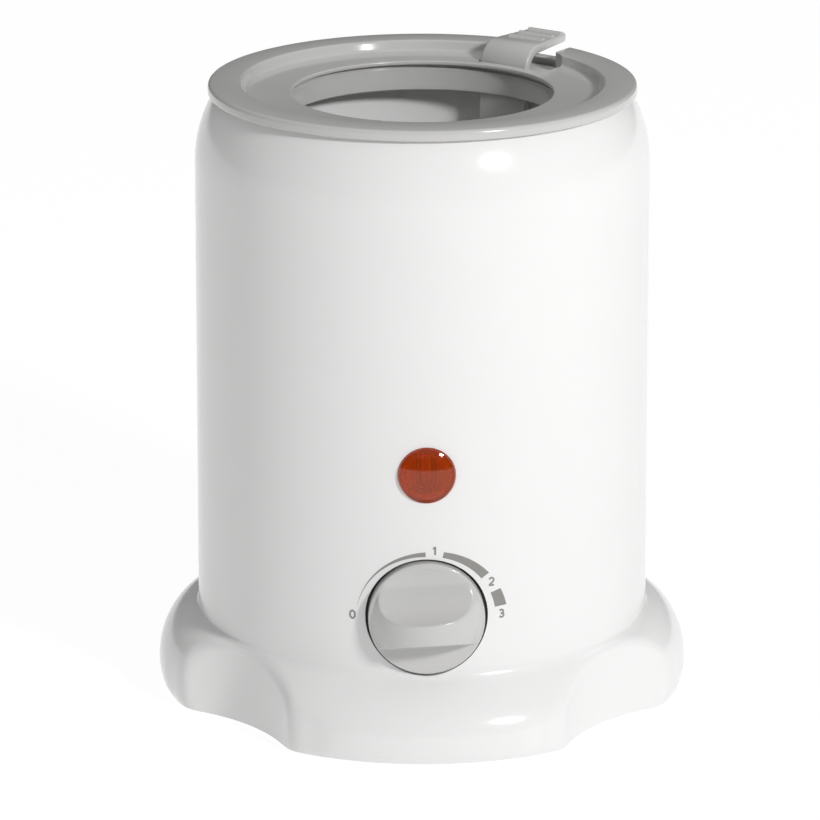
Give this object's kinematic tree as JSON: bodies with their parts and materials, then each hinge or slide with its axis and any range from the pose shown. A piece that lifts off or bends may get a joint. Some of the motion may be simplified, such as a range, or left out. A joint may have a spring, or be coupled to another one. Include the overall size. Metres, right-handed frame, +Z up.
{
  "type": "bottle warmer",
  "caption": "Round electric bottle warmer with a lobed skirt, a grey collar round a water well, a lifter with a thumb tab, a scooped dial knob and an amber lamp.",
  "frame": {"origin": "on the body's axis, on the surface that the rubber feet stand on", "axes": "+Z up along the body's axis, -Y to the front with the knob and the lamp, +X to the right as seen from the front"},
  "size_m": [0.1428, 0.1428, 0.1688],
  "materials": {
    "white_plastic": "glossy moulded",
    "grey_plastic": "satin gloss moulded",
    "amber_lens": "clear amber",
    "clear_glass": "clear",
    "black_rubber": "matt",
    "steel": "plated",
    "aluminium": "bright pressed",
    "brass": "bright",
    "cream_resin": "matt moulded",
    "wire_brown": "soft sleeve",
    "wire_red": "soft sleeve",
    "wire_blue": "soft sleeve",
    "wire_white": "soft sleeve"
  },
  "bodies": {
    "housing": {"outer_shell": "white_plastic", "base_plate": "white_plastic", "rubber_feet": "black_rubber", "base_screws": "steel", "water_well": "white_plastic", "well_gasket": "black_rubber", "heater_plate": "aluminium", "heater_screws": "steel", "heating_element": "steel", "thermal_fuse": "aluminium", "fuse_clip": "steel", "fuse_screw": "steel", "heat_bridge": "aluminium", "thermostat_body": "cream_resin", "thermostat_bushing": "brass", "thermostat_nut": "steel", "thermostat_tabs": "brass", "lamp_lens": "amber_lens", "lamp_holder": "white_plastic", "lamp_screws": "steel", "glow_lamp": "clear_glass", "lamp_electrodes": "steel", "terminal_block": "cream_resin", "terminal_screws": "brass", "cord_gland": "black_rubber", "collar_ring": "grey_plastic", "live_wire": "wire_brown", "switched_wire": "wire_red", "fuse_link": "wire_red", "neutral_wire": "wire_blue", "lamp_leads": "wire_white"},
    "knob": {"control_knob": "grey_plastic", "thermostat_shaft": "steel"},
    "lifter": {"bottle_lifter": "grey_plastic"}
  },
  "joints": [
    {"name": "knob_turn", "type": "hinge", "parent": "housing", "child": "knob", "pos_m": [0, 0, 0.0376], "axis": [0, 1, 0], "range_deg": [0, 174]},
    {"name": "lifter_slide", "type": "slide", "parent": "housing", "child": "lifter", "axis": [0, 0, 1], "range_m": [0, 0.088]}
  ]
}
